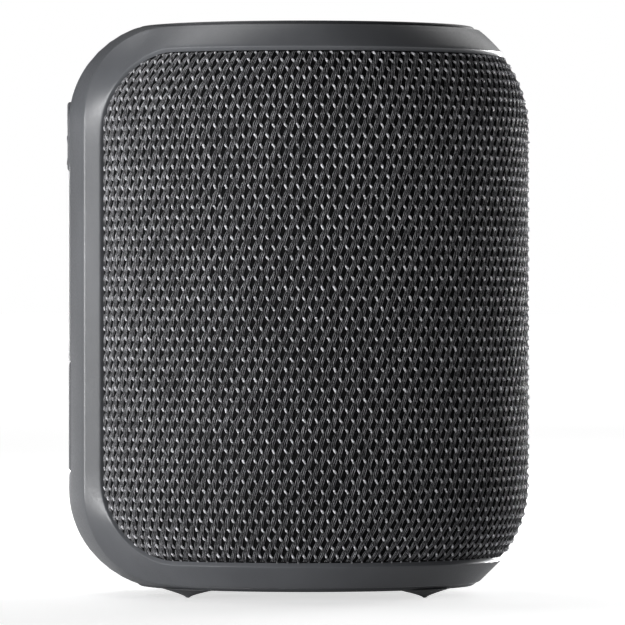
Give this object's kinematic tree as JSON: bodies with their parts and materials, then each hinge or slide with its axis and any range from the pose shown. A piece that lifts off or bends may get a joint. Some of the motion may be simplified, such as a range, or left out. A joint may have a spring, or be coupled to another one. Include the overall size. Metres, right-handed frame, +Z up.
{
  "type": "portable bluetooth speaker",
  "caption": "Short upright cylinder speaker with round shoulders: knitted sleeve in a C-shaped grey frame with a raised rear spine, top keys, port cover, driver and passive radiator.",
  "frame": {"origin": "centre of the bounding box at its base, on the surface that the four rubber feet stand on", "axes": "+Z up along the body's axis; the raised spine with the buttons and the port cover faces -X; the driver faces +X"},
  "size_m": [0.09, 0.0868, 0.1097],
  "materials": {
    "frame_grey": "satin moulded, fine spark-eroded grain",
    "panel_grey": "satin soft-touch",
    "base_grey": "satin moulded",
    "knit": "open polyester knit with a melange of grey yarns",
    "black_plastic": "matte moulded",
    "rubber": "matte",
    "cover_rubber": "soft matte silicone in the frame's grey",
    "steel": "plated",
    "circuit_board": "solder mask",
    "cell_wrap": "heat-shrink film",
    "clear": "polished light pipe",
    "paper_cone": "pressed paper pulp"
  },
  "bodies": {
    "housing": {"outer_frame": "frame_grey", "fabric_sleeve": "knit", "grille_shell": "black_plastic", "control_panel": "panel_grey", "status_lens": "clear", "volume_down_switch": "steel", "play_switch": "steel", "volume_up_switch": "steel", "key_board": "circuit_board", "board_screw_1": "steel", "board_screw_2": "steel", "board_screw_3": "steel", "base_plate": "base_grey", "base_screw_1": "steel", "base_screw_2": "steel", "base_screw_3": "steel", "base_screw_4": "steel", "foot_1": "rubber", "foot_2": "rubber", "foot_3": "rubber", "foot_4": "rubber", "radiator_frame": "black_plastic", "radiator_surround": "rubber", "chassis": "black_plastic", "chassis_seal": "rubber", "chassis_lid": "black_plastic", "driver_basket": "steel", "driver_magnet": "black_plastic", "driver_surround": "rubber", "battery_cell": "cell_wrap", "battery_cradle": "black_plastic", "main_board": "circuit_board", "bluetooth_module": "steel", "battery_connector": "clear", "usb_c_socket": "steel", "aux_socket": "black_plastic", "power_switch": "steel", "pair_switch": "steel", "button_pad": "cover_rubber"},
    "volume_down_key": {"volume_down_key": "panel_grey"},
    "play_key": {"play_key": "panel_grey"},
    "volume_up_key": {"volume_up_key": "panel_grey"},
    "power_button": {"power_button": "cover_rubber"},
    "pair_button": {"pair_button": "cover_rubber"},
    "port_cover": {"port_cover": "cover_rubber"},
    "driver_cone": {"driver_cone": "paper_cone"},
    "radiator_diaphragm": {"radiator_diaphragm": "steel"}
  },
  "joints": [
    {"name": "volume_down_press", "type": "slide", "parent": "housing", "child": "volume_down_key", "axis": [0, 0, -1], "range_m": [0, 0.0004], "stiffness_N_per_m": 3000, "springref_m": -0.0004},
    {"name": "play_press", "type": "slide", "parent": "housing", "child": "play_key", "axis": [0, 0, -1], "range_m": [0, 0.0004], "stiffness_N_per_m": 3000, "springref_m": -0.0004},
    {"name": "volume_up_press", "type": "slide", "parent": "housing", "child": "volume_up_key", "axis": [0, 0, -1], "range_m": [0, 0.0004], "stiffness_N_per_m": 3000, "springref_m": -0.0004},
    {"name": "power_press", "type": "slide", "parent": "housing", "child": "power_button", "axis": [1, 0, 0], "range_m": [0, 0.0004], "stiffness_N_per_m": 3000, "springref_m": -0.0004},
    {"name": "pair_press", "type": "slide", "parent": "housing", "child": "pair_button", "axis": [1, 0, 0], "range_m": [0, 0.0004], "stiffness_N_per_m": 3000, "springref_m": -0.0004},
    {"name": "port_cover_hinge", "type": "hinge", "parent": "housing", "child": "port_cover", "pos_m": [-0.0445, 0, 0.0237], "axis": [0, -1, 0], "range_deg": [0, 110]},
    {"name": "driver_cone_travel", "type": "slide", "parent": "housing", "child": "driver_cone", "axis": [1, 0, 0], "range_m": [-0.0015, 0.0015], "stiffness_N_per_m": 1500},
    {"name": "radiator_travel", "type": "slide", "parent": "housing", "child": "radiator_diaphragm", "axis": [0, 0, 1], "range_m": [-0.002, 0.0015], "stiffness_N_per_m": 900}
  ]
}
